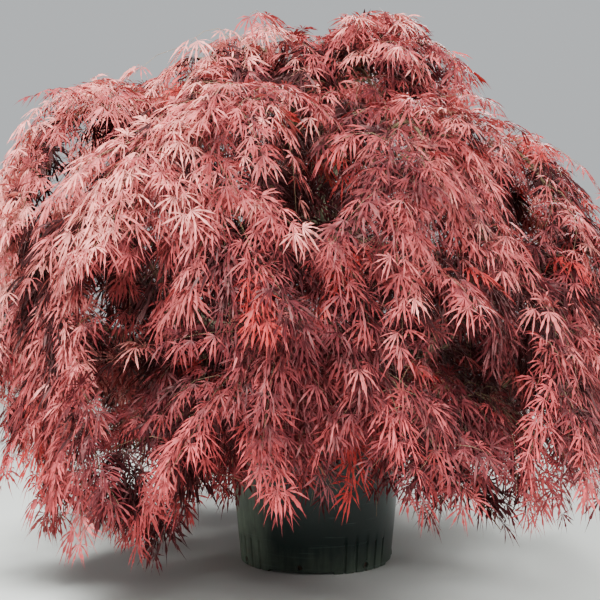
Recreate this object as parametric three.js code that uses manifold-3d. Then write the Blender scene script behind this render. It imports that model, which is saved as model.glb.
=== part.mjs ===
// A weeping laceleaf maple in a black nursery container, in millimetres, +Z up.
// The origin is the middle of the container's flat underside; the photograph looks along +Y.
import * as THREE from "three";
import { mergeVertices } from "three/addons/utils/BufferGeometryUtils.js";
import Module from "manifold-3d";

// Container: a tapered, blow-moulded 24 by 18 inch pot with a rolled rim and a ribbed foot.
const POT_HEIGHT = 450;
const POT_BASE_RADIUS = 255;
const POT_TOP_RADIUS = 298;
const POT_WALL = 5;
const POT_SEGMENTS = 40;
const RIM_DROP = 22;
const RIM_PROUD = 8;
const RIM_ROUND = 4;
const DRAINS = 7;
const FIRST_DRAIN_DEG = -154;
const DRAIN_RADIUS = 8;
const DRAIN_HEIGHT = 22;
const FLUTES = 5;
const FLUTE_PITCH_DEG = 9;
const FLUTE_WIDTH = 9;
const FLUTE_DEPTH = 3;
const FLUTE_HEIGHT = 95;
const FOOT_GAP_DEG = 50;
const FOOT_GAP_HEIGHT = 8;
const FOOT_GAP_DEPTH = 14;
const FLOOR_HEIGHT = 13;

// Potting mix: fills the container to a little under its rim, a touch lower round its edge.
const SOIL_LEVEL = 405;
const SOIL_EDGE_DROP = 6;
const SOIL_EDGE_SHARE = 0.8;

// The gap that every piece keeps to the next.
const CLEARANCE = 0.3;

// Trunk: leans and bends a little on its way up to the fork.
const TRUNK_BASE_RADIUS = 46;
const TRUNK_TIP_RADIUS = 27;
const FLARE = 0.55;
const FLARE_SHARE = 0.09;
const BUTTRESSES = 5;
const BUTTRESS_SHARE = 0.35;
const FORK_HEIGHT = 900;
const TRUNK_LEAN = [70, -20];
const TRUNK_BEND = [-110, 40];
const TRUNK_SIDES = 10;
const TRUNK_STEPS = 8;

// Crown: tiers of weeping masses. Each mass hangs on one stem. Its radius and height are given where
// it leaves its bough, at the two handles that make its arch, and where it ends. A tier reaches
// further out on the crown's high side than opposite it, by its skew.
const TIERS = [
  {
    name: "crest",
    count: 1,
    turn: 324,
    skew: 0,
    arch: [[25, 1440], [60, 1780], [270, 1870], [410, 1740]],
  },
  {
    name: "top",
    count: 5,
    turn: 10,
    skew: 0.08,
    arch: [[80, 1400], [220, 1770], [370, 1700], [450, 1470]],
  },
  {
    name: "upper",
    count: 7,
    turn: 38,
    skew: 0.08,
    arch: [[330, 1170], [520, 1570], [820, 1540], [860, 1180]],
  },
  {
    name: "middle",
    count: 7,
    turn: 12,
    skew: 0.03,
    arch: [[490, 820], [690, 1200], [910, 1170], [940, 760]],
  },
  {
    name: "skirt",
    count: 7,
    turn: 38,
    skew: 0.01,
    arch: [[530, 560], [710, 840], [890, 760], [840, 380]],
  },
];
const SEED = 12;
const TURN_JITTER_DEG = 4;
const REACH_JITTER = 0.04;
const HIGH_SIDE_DEG = 175;
const HIGH_SIDE_LIFT = 70;

// Boughs: the radius that the first ones have at the trunk, and that all have at the tip.
const BOUGH_RADIUS = 22;
const BOUGH_TIP_RADIUS = 11;
const CHILD_SHARE = 0.72;
const BOUGH_SIDES = 5;
const BOUGH_STEPS = 4;

// Where boughs spring from: shares of the trunk's and of a bough's length, and what makes a place
// dear. It is dear to rise less than SPRING_DROP or run out less than SPRING_INWARD to the tip.
const TRUNK_PLACES = [0.55, 0.63, 0.71, 0.79, 0.87, 0.95];
const BOUGH_PLACES = [0.3, 0.4, 0.5, 0.6, 0.7];
const BOUGH_PLACE_COST = 60;
const SPRING_DROP = 40;
const SPRING_DROP_COST = 1.6;
const SPRING_INWARD = 120;
const SPRING_INWARD_COST = 2;
const PARENT_SWAY = 0.6;
const FOOT_HANDLE = 0.4;
const TIP_HANDLE = 0.35;

// Stems and twigs
const STEM_TWIGS = 4;
const STEM_TIP_RADIUS = 6;
const STEM_SIDES = 3;
const STEM_STEPS = STEM_TWIGS + 1;
const BARE_STEM_STEPS = 1;
const TWIG_SHORTEST = 70;
const TWIG_SIDE_ROOM = 110;
const FEWEST_ROUND = 5;
const TWIG_RADIUS = 4.5;
const TWIG_TIP_RADIUS = 3;
const TWIG_SIDES = 3;
const TWIG_STEPS = 2;
const TWIG_LEAVES = 3;
const TWIG_TURN_DEG = 64;
const TWIG_TURN_JITTER_DEG = 12;
const TWIG_TILT_DEG = 16;
const TWIG_TILT_JITTER_DEG = 12;
const TWIG_BEND = 0.6;
const TWIG_DROOP = 0.5;

// Leaves. One blade here stands for a spray of the plant's own small leaves.
const LEAF_LENGTH = 310;
const LEAF_WIDTH = 245;
const LEAF_THICKNESS = 10;
const LEAF_SIZE_JITTER = 0.15;
const LEAF_DROOP = 0.2;
const LEAF_FAN = 0.8;
const LEAF_FAN_JITTER = 0.2;
const LEAF_ALONG_LIMB = 0.6;
const LEAF_STAND = 0.3;
const LEAF_HANG = 0.4;
const TIP_SINK = 9;

// Clearances round limbs, twigs, leaves and the container.
const PATH_STRETCHES = 8;
const LOWEST_TIP = 110;
const POT_MARGIN = 40;
const LIMB_MARGIN = 14;
const TWIG_MARGIN = 55;
const LEAF_MARGIN = 2;

const wasm = await Module();
wasm.setup();

const MATERIALS = {
  pot: new THREE.MeshStandardMaterial({ color: 0x0c1a19, roughness: 0.45, metalness: 0 }),
  soil: new THREE.MeshStandardMaterial({ color: 0x3b2a1e, roughness: 1, metalness: 0 }),
  bark: new THREE.MeshStandardMaterial({ color: 0x6d6a52, roughness: 0.9, metalness: 0 }),
  foliage: new THREE.MeshStandardMaterial({ color: 0x8c3a3f, roughness: 0.7, metalness: 0 }),
};

// Solids and geometries

function solidOf(geometry) {
  const bare = geometry.clone();
  bare.deleteAttribute("normal");
  bare.deleteAttribute("uv");
  const merged = mergeVertices(bare, 1e-3);
  return new wasm.Manifold(
    new wasm.Mesh({
      numProp: 3,
      vertProperties: merged.attributes.position.array,
      triVerts: new Uint32Array(merged.index.array),
    }),
  );
}

function geometryOf(solid) {
  const mesh = solid.getMesh();
  const geometry = new THREE.BufferGeometry();
  geometry.setAttribute("position", new THREE.BufferAttribute(mesh.vertProperties, 3));
  geometry.setIndex(new THREE.BufferAttribute(mesh.triVerts, 1));
  geometry.computeVertexNormals();
  return geometry;
}

// A boolean can leave crumbs beside the body that matters.
function largestBody(solid) {
  return solid.decompose().reduce((best, body) => (body.volume() > best.volume() ? body : best));
}

// Numbers from -1 to 1 that come out the same on every run.
function seeded(seed) {
  let state = seed >>> 0;
  return () => {
    state = (Math.imul(state, 1664525) + 1013904223) >>> 0;
    return (2 * state) / 4294967296 - 1;
  };
}

function polar(radius, degrees, height) {
  const angle = radians(degrees);
  return new THREE.Vector3(radius * Math.cos(angle), radius * Math.sin(angle), height);
}

const UP = new THREE.Vector3(0, 0, 1);
const radians = THREE.MathUtils.degToRad;
const outwardOf = (point) => new THREE.Vector3(point.x, point.y, 0).normalize();

// Container

function potRadiusAt(height) {
  return POT_BASE_RADIUS + ((POT_TOP_RADIUS - POT_BASE_RADIUS) * height) / POT_HEIGHT;
}

function latheUpright(profile, segments) {
  const points = profile.map(([radius, height]) => new THREE.Vector2(radius, height));
  return solidOf(new THREE.LatheGeometry(points, segments).rotateX(Math.PI / 2));
}

function potShell() {
  const rimFoot = POT_HEIGHT - RIM_DROP;
  return latheUpright([
    [0, 0],
    [POT_BASE_RADIUS, 0],
    [potRadiusAt(rimFoot), rimFoot],
    [potRadiusAt(rimFoot) + RIM_PROUD, rimFoot + RIM_ROUND],
    [potRadiusAt(POT_HEIGHT) + RIM_PROUD, POT_HEIGHT - RIM_ROUND],
    [potRadiusAt(POT_HEIGHT) + RIM_PROUD / 2, POT_HEIGHT],
    [potRadiusAt(POT_HEIGHT) - POT_WALL, POT_HEIGHT - RIM_ROUND / 2],
    [potRadiusAt(FLOOR_HEIGHT) - POT_WALL, FLOOR_HEIGHT],
    [0, FLOOR_HEIGHT],
  ], POT_SEGMENTS);
}

// An upright flute cut into the wall near the foot: a wedge that leans with the wall's taper.
function flute(degrees) {
  const lean = Math.atan2(POT_TOP_RADIUS - POT_BASE_RADIUS, POT_HEIGHT);
  const wedge = new THREE.CylinderGeometry(FLUTE_WIDTH, FLUTE_WIDTH, 2 * FLUTE_HEIGHT, 3);
  wedge.rotateX(Math.PI / 2).rotateZ(-Math.PI / 2).translate(FLUTE_WIDTH - FLUTE_DEPTH, 0, 0);
  wedge.rotateY(lean).translate(POT_BASE_RADIUS, 0, 0);
  return solidOf(wedge.rotateZ(radians(degrees)));
}

function drain(degrees) {
  const hole = new THREE.CylinderGeometry(DRAIN_RADIUS, DRAIN_RADIUS, 8 * POT_WALL, 8);
  hole.rotateZ(Math.PI / 2).translate(POT_BASE_RADIUS, 0, DRAIN_HEIGHT);
  return solidOf(hole.rotateZ(radians(degrees)));
}

// The gap that lets water out from under the wall, between two drains.
function footGap(degrees) {
  const half = radians(FOOT_GAP_DEG / 2);
  const middle = radians(degrees);
  const sector = new THREE.Shape();
  sector.absarc(0, 0, POT_BASE_RADIUS + FOOT_GAP_DEPTH, middle - half, middle + half, false);
  sector.absarc(0, 0, POT_BASE_RADIUS - FOOT_GAP_DEPTH, middle + half, middle - half, true);
  const slab = new THREE.ExtrudeGeometry(sector, {
    depth: 2 * FOOT_GAP_HEIGHT,
    bevelEnabled: false,
    curveSegments: 8,
  });
  return solidOf(slab.translate(0, 0, -FOOT_GAP_HEIGHT));
}

// Every second drain has a row of flutes round it, and the drains between have a foot gap.
function pot() {
  const cuts = [];
  for (let i = 0; i < DRAINS; i++) {
    const middle = FIRST_DRAIN_DEG + (i * 360) / DRAINS;
    cuts.push(drain(middle));
    if (i % 2) cuts.push(footGap(middle));
    for (let j = 0; j < FLUTES && i % 2 === 0; j++) {
      cuts.push(flute(middle + (j - (FLUTES - 1) / 2) * FLUTE_PITCH_DEG));
    }
  }
  return cuts.reduce((shell, cut) => shell.subtract(cut), potShell());
}

function pottingMix() {
  const inner = (height) => potRadiusAt(height) - POT_WALL - FLUTE_DEPTH - CLEARANCE;
  return latheUpright([
    [0, FLOOR_HEIGHT + CLEARANCE],
    [inner(FLOOR_HEIGHT), FLOOR_HEIGHT + CLEARANCE],
    [inner(SOIL_LEVEL), SOIL_LEVEL - SOIL_EDGE_DROP],
    [inner(SOIL_LEVEL) * SOIL_EDGE_SHARE, SOIL_LEVEL],
    [0, SOIL_LEVEL],
  ], POT_SEGMENTS / 2);
}

// Limbs: a cylinder whose rings are carried along a curve and given the radius at each place.
// A limb's radius can depend on how far along it is and, as at a root flare, on how far round.

function limb(curve, radiusAt, sides, steps) {
  const frames = curve.computeFrenetFrames(steps, false);
  const tube = new THREE.CylinderGeometry(1, 1, 1, sides, steps);
  const place = tube.attributes.position;
  for (let i = 0; i < place.count; i++) {
    const along = place.getY(i) + 0.5;
    const ring = Math.round(along * steps);
    const radius = radiusAt(along, Math.atan2(place.getX(i), place.getZ(i)));
    const centre = curve.getPointAt(along);
    centre.addScaledVector(frames.normals[ring], place.getX(i) * radius);
    centre.addScaledVector(frames.binormals[ring], -place.getZ(i) * radius);
    place.setXYZ(i, centre.x, centre.y, centre.z);
  }
  return solidOf(tube);
}

const taper = (from, to) => (along) => from + (to - from) * along;

function trunkCurve() {
  const foot = new THREE.Vector3(0, 0, SOIL_LEVEL + CLEARANCE);
  const fork = new THREE.Vector3(...TRUNK_LEAN, FORK_HEIGHT);
  const third = (FORK_HEIGHT - SOIL_LEVEL) / 3;
  return new THREE.CubicBezierCurve3(
    foot,
    new THREE.Vector3(0, 0, foot.z + third),
    new THREE.Vector3(fork.x + TRUNK_BEND[0], fork.y + TRUNK_BEND[1], fork.z - third),
    fork,
  );
}

function trunkRadius(along, around) {
  const flare = FLARE * Math.exp(-along / FLARE_SHARE);
  const buttress = 1 + BUTTRESS_SHARE * flare * Math.cos(BUTTRESSES * around);
  return taper(TRUNK_BASE_RADIUS, TRUNK_TIP_RADIUS)(along) * (1 + flare) * buttress;
}

// Crown plan: where each mass's stem starts and ends, from its tier's sizes and its place round
// the trunk.

function stemCurve(tier, degrees, jitter) {
  const highSide = Math.cos(radians(degrees - HIGH_SIDE_DEG));
  const reach = jitter * (1 + tier.skew * highSide);
  const lift = HIGH_SIDE_LIFT * highSide;
  return new THREE.CubicBezierCurve3(
    ...tier.arch.map(([radius, height]) => polar(radius * reach, degrees, height + lift)),
  );
}

function crownPlan() {
  const random = seeded(SEED);
  const plan = [];
  for (const tier of TIERS) {
    for (let i = 0; i < tier.count; i++) {
      const degrees = tier.turn + (i * 360) / tier.count + TURN_JITTER_DEG * random();
      const curve = stemCurve(tier, degrees, 1 + REACH_JITTER * random());
      plan.push({ name: `${tier.name}_${i + 1}`, tier, curve, twigs: [], paths: [pathOf(curve)] });
    }
  }
  return plan;
}

// Boughs: each springs from the nearest place on a limb already there that lies further in and
// lower, and runs to its mass's stem, which carries on in the same direction.

function springPoint(limbs, tip) {
  let best = null;
  for (const parent of limbs) {
    for (const along of parent.places) {
      const point = parent.curve.getPoint(along);
      const inward = Math.hypot(tip.x, tip.y) - Math.hypot(point.x, point.y);
      const cost =
        parent.cost +
        point.distanceTo(tip) +
        SPRING_DROP_COST * Math.max(0, point.z - tip.z + SPRING_DROP) +
        SPRING_INWARD_COST * Math.max(0, SPRING_INWARD - inward);
      if (!best || cost < best.cost) best = { cost, parent, along, point };
    }
  }
  return best;
}

function boughCurve(spring, stem) {
  const tip = stem.getPoint(0).addScaledVector(stem.getTangent(0), -CLEARANCE);
  const length = spring.point.distanceTo(tip);
  const leave = tip.clone().sub(spring.point).normalize();
  leave.addScaledVector(spring.parent.curve.getTangent(spring.along), PARENT_SWAY).normalize();
  return new THREE.CubicBezierCurve3(
    spring.point,
    spring.point.clone().addScaledVector(leave, length * FOOT_HANDLE),
    tip.clone().addScaledVector(stem.getTangent(0), -length * TIP_HANDLE),
    tip,
  );
}

// Masses of foliage

// The frame of the crown's surface at a place on a stem: along it, out of the crown, and sideways.
function surfaceFrame(curve, along) {
  const tangent = curve.getTangentAt(along);
  const skyward = outwardOf(curve.getPointAt(along)).add(UP);
  const side = new THREE.Vector3().crossVectors(tangent, skyward).normalize();
  const out = new THREE.Vector3().crossVectors(side, tangent).normalize();
  return { tangent, side, out };
}

// A place on a limb's axis, which runs straight from ring to ring.
function axisPoint(curve, steps, along) {
  const ring = Math.min(Math.floor(along * steps), steps - 1);
  return curve.getPointAt(ring / steps).lerp(curve.getPointAt((ring + 1) / steps), along * steps - ring);
}

// Twigs leave the stem in turn to its two sides, arch over and droop. Each is as long as the room
// between this stem and the next one round the crown lets it be.
function twigCurves(mass, random) {
  const twigs = [];
  for (let i = 0; i < STEM_TWIGS; i++) {
    const along = (i + 1.5) / STEM_STEPS;
    const frame = surfaceFrame(mass.curve, along);
    const turn = radians(TWIG_TURN_DEG + TWIG_TURN_JITTER_DEG * random());
    const tilt = radians(TWIG_TILT_DEG + TWIG_TILT_JITTER_DEG * random());
    const hand = i % 2 ? -1 : 1;
    const start = axisPoint(mass.curve, STEM_STEPS, along);
    const count = Math.max(mass.tier.count, FEWEST_ROUND);
    const room = Math.hypot(start.x, start.y) * Math.tan(Math.PI / count);
    const length = Math.max(room - TWIG_SIDE_ROOM, TWIG_SHORTEST);
    const leave = frame.tangent.clone().multiplyScalar(Math.cos(turn));
    leave.addScaledVector(frame.side, hand * Math.sin(turn) * Math.cos(tilt));
    leave.addScaledVector(frame.out, Math.sin(turn) * Math.sin(tilt));
    const bend = start.clone().addScaledVector(leave, length * TWIG_BEND);
    const tip = start.clone().addScaledVector(leave, length).addScaledVector(UP, -length * TWIG_DROOP);
    const curve = new THREE.QuadraticBezierCurve3(start, bend, tip);
    twigs.push({ curve, hand, frameAt: () => frame });
  }
  return twigs;
}

// A leaf with three fingers: an underside that droops, and a peak near its foot on top, high enough for
// the ridge that runs from it down the middle finger to stay above the underside's fold.
const LEAF_OUTLINE = [
  [0, 0],
  [0.74, -0.5],
  [0.46, -0.13],
  [1, 0],
  [0.46, 0.13],
  [0.74, 0.5],
];
const LEAF_UNDERSIDE = [1, 0, 2, 2, 0, 4, 3, 2, 4, 4, 0, 5];
const LEAF_PEAK = [0.3, 0];
const LEAF_FOOT = 0.12;

function leafAt(point, pointing, out, scale, margin, footAlong) {
  const place = ([along, across], height) => [
    along * LEAF_LENGTH * scale + Math.sign(along) * margin,
    across * (LEAF_WIDTH * scale + 2 * margin),
    height - LEAF_DROOP * LEAF_LENGTH * scale * along * along,
  ];
  const rim = LEAF_OUTLINE.map(([along, across]) => place([Math.max(along, footAlong), across], -margin));
  const peak = place(LEAF_PEAK, LEAF_THICKNESS * scale + margin);
  const top = LEAF_OUTLINE.flatMap((_, i) => [i, (i + 1) % rim.length, rim.length]);
  const geometry = new THREE.BufferGeometry();
  geometry.setAttribute("position", new THREE.Float32BufferAttribute([...rim, peak].flat(), 3));
  geometry.setIndex([...top, ...LEAF_UNDERSIDE]);
  const ahead = pointing.clone().normalize();
  const normal = out.clone().addScaledVector(ahead, -out.dot(ahead)).normalize();
  const left = new THREE.Vector3().crossVectors(normal, ahead);
  return geometry.applyMatrix4(new THREE.Matrix4().makeBasis(ahead, left, normal).setPosition(point));
}

// Leaves stand along a limb past its bare steps, in turn to its two sides, and one at its tip.
// They lie along the crown's fall line, fanned out to their own side, with their points a little
// proud of it. Each place gives three blades: the one wanted first, and two turned otherwise for
// want of room.
function leavesOf({ curve, hand, frameAt }, steps, count, bare, random) {
  const leaves = [];
  const tipAlong = 1 - TIP_SINK / curve.getLength();
  for (let i = count; i > bare; i--) {
    const along = i === count ? tipAlong : i / count;
    const frame = frameAt(along);
    const fan = LEAF_FAN * (1 + LEAF_FAN_JITTER * random()) * (i % 2 ? -hand : hand);
    const scale = 1 + LEAF_SIZE_JITTER * random();
    const root = axisPoint(curve, steps, along);
    const ownWay = curve.getTangentAt(along);
    const fallLine = frame.tangent.clone().addScaledVector(ownWay, LEAF_ALONG_LIMB);
    fallLine.addScaledVector(frame.out, LEAF_STAND).addScaledVector(UP, -LEAF_HANG);
    const turns = i === count ? [0, fan, -fan] : [fan, 0, -fan];
    leaves.push(
      turns.map((turn) => (margin = 0, footAlong = 0) => {
        const pointing = fallLine.clone().addScaledVector(frame.side, turn);
        return leafAt(root, pointing, frame.out, scale, margin, footAlong);
      }),
    );
  }
  return leaves;
}

// Clearances, taken to the nearest place on a path of short straight stretches.

const pathOf = (curve) => curve.getPoints(PATH_STRETCHES);

function distanceTo(path, point) {
  const line = new THREE.Line3();
  const near = new THREE.Vector3();
  let least = Infinity;
  for (let i = 1; i < path.length; i++) {
    line.set(path[i - 1], path[i]).closestPointToPoint(point, true, near);
    least = Math.min(least, near.distanceTo(point));
  }
  return least;
}

const nearest = (paths, point) => Math.min(...paths.map((path) => distanceTo(path, point)));

function clearOfLimbs(point, limbs) {
  const besidePot = Math.hypot(point.x, point.y) > POT_TOP_RADIUS + POT_MARGIN;
  const overPot = point.z > POT_HEIGHT + POT_MARGIN;
  return (
    point.z > LOWEST_TIP &&
    (besidePot || overPot) &&
    limbs.every((each) => distanceTo(each.path, point) > each.radius + LIMB_MARGIN)
  );
}

// A mass grows the twigs that keep well away from the stems and twigs of the other masses.
function growTwigs(mass, plan, limbs, random) {
  for (const twig of twigCurves(mass, random)) {
    const points = twig.curve.getSpacedPoints(2 * TWIG_STEPS).slice(1);
    const others = plan.filter((other) => other !== mass).flatMap((other) => other.paths);
    const fits = points.every(
      (point) => clearOfLimbs(point, limbs) && nearest(others, point) > TWIG_MARGIN,
    );
    if (!fits) continue;
    mass.twigs.push(twig);
    mass.paths.push(pathOf(twig.curve));
  }
}

// A mass's own space is every place that lies nearer to its stem and twigs than to another's. A leaf
// hangs in it by its thickest point, and no corner of it comes near another mass's stem or twigs.
function inOwnSpace(points, heart, mass, plan, limbs) {
  const own = nearest(mass.paths, heart);
  const others = plan.filter((other) => other !== mass);
  return (
    others.every((other) => nearest(other.paths, heart) > own) &&
    points.every(
      (point) =>
        clearOfLimbs(point, limbs) && others.every((other) => nearest(other.paths, point) > LIMB_MARGIN),
    )
  );
}

// A leaf's corners, and the places halfway between each and its thickest point.
function pointsOf(leaf) {
  const place = leaf.attributes.position;
  const corners = Array.from({ length: place.count }, (_, i) => {
    return new THREE.Vector3().fromBufferAttribute(place, i);
  });
  const heart = corners.pop();
  return [heart, ...corners, ...corners.map((corner) => corner.clone().lerp(heart, 0.5))];
}

// The masses' limbs come first, so that every leaf can be tried against all of them and against the
// leaves already hung. A leaf stays if it crosses no part but its own limb.
function hangLeaves(plan, limbs, random) {
  const hung = [];
  for (const mass of plan) {
    const stem = { curve: mass.curve, hand: 1, frameAt: (along) => surfaceFrame(mass.curve, along) };
    mass.grown = [
      ...mass.twigs.map((twig) => ({
        solid: limb(twig.curve, taper(TWIG_RADIUS, TWIG_TIP_RADIUS), TWIG_SIDES, TWIG_STEPS),
        leaves: leavesOf(twig, TWIG_STEPS, TWIG_LEAVES, 0, random),
      })),
      {
        solid: limb(mass.curve, taper(BOUGH_TIP_RADIUS, STEM_TIP_RADIUS), STEM_SIDES, STEM_STEPS),
        leaves: leavesOf(stem, STEM_STEPS, STEM_STEPS, BARE_STEM_STEPS, random),
      },
    ];
    mass.parts = mass.grown.map(({ solid }) => solid);
    hung.push(...mass.parts);
  }
  const fits = (leaf, mass, ownLimb) => {
    const points = pointsOf(leaf());
    if (!inOwnSpace(points, points[0], mass, plan, limbs)) return false;
    const roomy = solidOf(leaf(LEAF_MARGIN));
    const beyondFoot = solidOf(leaf(LEAF_MARGIN, LEAF_FOOT));
    return hung.every((part) => part.intersect(part === ownLimb ? beyondFoot : roomy).isEmpty());
  };
  for (const mass of plan) {
    for (const { solid, leaves } of mass.grown) {
      for (const turned of leaves) {
        const leaf = turned.find((each) => fits(each, mass, solid));
        if (!leaf) continue;
        mass.parts.push(solidOf(leaf()));
        hung.push(mass.parts.at(-1));
      }
    }
  }
}

// Assembly

const group = new THREE.Group();
group.name = "potted_laceleaf_maple";

function add(name, solid, material) {
  const mesh = new THREE.Mesh(geometryOf(solid), MATERIALS[material]);
  mesh.name = name;
  group.add(mesh);
}

add("pot", pot(), "pot");
add("potting_mix", pottingMix(), "soil");

const trunk = trunkCurve();
add("trunk", limb(trunk, trunkRadius, TRUNK_SIDES, TRUNK_STEPS), "bark");

// Each bough is cut clear of the limbs that were there before it.
const plan = crownPlan();
const limbs = [
  {
    curve: trunk,
    path: pathOf(trunk),
    radius: TRUNK_BASE_RADIUS,
    radiusAt: taper(TRUNK_BASE_RADIUS, TRUNK_TIP_RADIUS),
    places: TRUNK_PLACES,
    cost: 0,
    wide: limb(
      trunk,
      (along, around) => trunkRadius(along, around) + CLEARANCE,
      TRUNK_SIDES,
      TRUNK_STEPS,
    ),
  },
];
for (const mass of plan) {
  const spring = springPoint(limbs, mass.curve.getPoint(0));
  const curve = boughCurve(spring, mass.curve);
  const foot = Math.min(BOUGH_RADIUS, CHILD_SHARE * spring.parent.radiusAt(spring.along));
  const radiusAt = taper(foot, BOUGH_TIP_RADIUS);
  const solid = limb(curve, radiusAt, BOUGH_SIDES, BOUGH_STEPS);
  const cut = limbs.reduce((rest, other) => rest.subtract(other.wide), solid);
  add(`bough_${mass.name}`, largestBody(cut), "bark");
  limbs.push({
    curve,
    path: pathOf(curve),
    radius: foot,
    radiusAt,
    places: BOUGH_PLACES,
    cost: BOUGH_PLACE_COST,
    wide: limb(curve, (along) => radiusAt(along) + CLEARANCE, BOUGH_SIDES, BOUGH_STEPS),
  });
}

const random = seeded(SEED + 1);
plan.forEach((mass) => growTwigs(mass, plan, limbs, random));
hangLeaves(plan, limbs, random);
for (const mass of plan) {
  add(`foliage_${mass.name}`, wasm.Manifold.union(mass.parts), "foliage");
}

export default group;
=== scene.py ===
import math
import bmesh
import bpy
import numpy as np
from mathutils import Matrix, Vector, noise


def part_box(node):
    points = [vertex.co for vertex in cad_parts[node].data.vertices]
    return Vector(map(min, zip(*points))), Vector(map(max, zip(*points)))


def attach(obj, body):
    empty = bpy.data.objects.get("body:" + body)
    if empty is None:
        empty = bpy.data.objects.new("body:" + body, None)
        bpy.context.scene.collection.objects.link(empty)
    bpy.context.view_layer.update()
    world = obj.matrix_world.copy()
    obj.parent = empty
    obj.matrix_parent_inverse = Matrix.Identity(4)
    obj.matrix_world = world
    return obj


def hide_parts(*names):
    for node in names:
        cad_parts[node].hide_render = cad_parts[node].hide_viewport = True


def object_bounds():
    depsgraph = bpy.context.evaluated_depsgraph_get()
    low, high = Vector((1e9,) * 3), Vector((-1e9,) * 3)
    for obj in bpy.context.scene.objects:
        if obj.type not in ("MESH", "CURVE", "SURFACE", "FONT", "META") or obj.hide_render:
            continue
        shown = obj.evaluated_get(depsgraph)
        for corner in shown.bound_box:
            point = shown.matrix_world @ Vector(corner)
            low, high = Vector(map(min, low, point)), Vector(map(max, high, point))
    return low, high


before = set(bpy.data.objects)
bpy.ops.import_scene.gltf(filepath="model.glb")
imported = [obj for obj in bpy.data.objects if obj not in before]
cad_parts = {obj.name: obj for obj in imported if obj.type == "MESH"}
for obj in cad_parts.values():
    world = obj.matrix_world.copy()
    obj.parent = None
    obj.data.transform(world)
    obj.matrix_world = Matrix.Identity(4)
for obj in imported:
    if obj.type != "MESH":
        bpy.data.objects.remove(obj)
cad_box = [list(corner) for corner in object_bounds()]
MM = 0.001


# Container. A nursery pot of black polyethylene, blow-moulded, with a rolled rim, rows of upright
# flutes pressed into its foot and drain holes between them. Spun from its section, then the flutes
# are pushed in, the foot gaps are lifted and the drain holes are cut through.
POT_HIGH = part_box("pot")[1]
POT_HEIGHT = POT_HIGH.z
RIM_PROUD = 8 * MM
POT_TOP_RADIUS = POT_HIGH.x - RIM_PROUD
POT_BASE_RADIUS = 255 * MM
POT_WALL = 5 * MM
FLOOR_HEIGHT = 13 * MM
RIM_DROP = 22 * MM
FOOT_ROUND = 2 * MM
LOW_RINGS = [14, 22, 30, 45, 70]
HIGH_RINGS = range(130, 420, 48)
RIM_TUCK_DEG = 60
RIM_STEP_DEG = 20
COLUMNS = 560
DRAINS = 7
FIRST_DRAIN_DEG = -154
DRAIN_COLUMNS = COLUMNS // DRAINS
DRAIN_RADIUS = 8 * MM
DRAIN_LIP_RADIUS = 11.5 * MM
DRAIN_LIP_THICKNESS = 2 * MM
DRAIN_HEIGHT = 22 * MM
DRAIN_SIDES = 24
CUTTER_DEPTH = 30 * MM
LIP_STEPS = 28
LIP_POINTS = 9
FLUTES = 5
FLUTE_COLUMNS = 14
FLUTE_DEPTH = 4 * MM
FLUTE_HEIGHT = 95 * MM
FLUTE_RUN_OUT = 8 * MM
FOOT_GAP_HALF_COLUMNS = 39
FOOT_GAP_HEIGHT = 8 * MM
FOOT_GAP_INSET = 17 * MM
POT_BLACK = 0x01130F
POT_DUST_AND_HIGHLIGHT = 0x7F8C78
POT_SCUFF = 0x3C4C48
STREAK_WIDTH = 18.18 * MM
STREAK_LENGTH = 333.3 * MM
BLOTCH_SIZE = 111.1 * MM
SCUFF_LENGTH = 166.7 * MM
SCUFF_WIDTH = 11.11 * MM
MOULD_GRAIN = 4.545 * MM


def linear(hex_colour):
    """An sRGB hex colour as the linear red, green, blue and alpha that a socket takes."""
    shares = [(hex_colour >> shift & 255) / 255 for shift in (16, 8, 0)]
    return [s / 12.92 if s <= 0.04045 else ((s + 0.055) / 1.055) ** 2.4 for s in shares] + [1]


def new_material(name):
    """A material with an empty node tree, and that tree."""
    material = bpy.data.materials.new(name)
    material.use_nodes = True
    material.node_tree.nodes.clear()
    return material, material.node_tree


def add_node(tree, kind, settings=None, **links):
    """Adds a node. A link's name is the input's. Its value is a number, a node's output, or a node, whose
    first output is then taken."""
    made = tree.nodes.new("ShaderNode" + kind)
    for name, value in (settings or {}).items():
        setattr(made, name, value)
    for name, value in links.items():
        if isinstance(value, bpy.types.Node):
            value = value.outputs[0]
        wanted = name.replace("_", " ")
        socket = made.inputs[int(wanted[3:]) if wanted.startswith("in ") else wanted]
        if isinstance(value, bpy.types.NodeSocket):
            tree.links.new(value, socket)
        else:
            socket.default_value = value
    return made


def linked(name, data):
    """A new object with this data, in the scene."""
    made = bpy.data.objects.new(name, data)
    bpy.context.scene.collection.objects.link(made)
    return made


def new_piece(name, mesh, material, slot, *nodes):
    """Links a finished mesh as a piece of the plant that stands for these solids."""
    piece = linked(name, mesh)
    mesh.materials.append(material)
    if nodes:
        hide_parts(*nodes)
    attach(piece, "root")


def pot_radius(height):
    return POT_BASE_RADIUS + (POT_TOP_RADIUS - POT_BASE_RADIUS) * height / POT_HEIGHT


def spun(section, steps, start_deg=0):
    """A bmesh turned round the upright axis from a section of radii and heights."""
    bm = bmesh.new()
    turn = Matrix.Rotation(math.radians(start_deg), 3, "Z")
    verts = [bm.verts.new(turn @ Vector((radius, 0, height))) for radius, height in section]
    edges = [bm.edges.new(pair) for pair in zip(verts, verts[1:])]
    bmesh.ops.spin(
        bm, geom=verts + edges, cent=(0, 0, 0), axis=(0, 0, 1), angle=math.tau, steps=steps, use_merge=True
    )
    bmesh.ops.remove_doubles(bm, verts=bm.verts, dist=1e-6)
    bmesh.ops.recalc_face_normals(bm, faces=bm.faces)
    return bm


def mesh_from(bm, name):
    """The bmesh's shape as a mesh. The bmesh itself is freed."""
    mesh = bpy.data.meshes.new(name)
    bm.to_mesh(mesh)
    bm.free()
    return mesh


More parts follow.
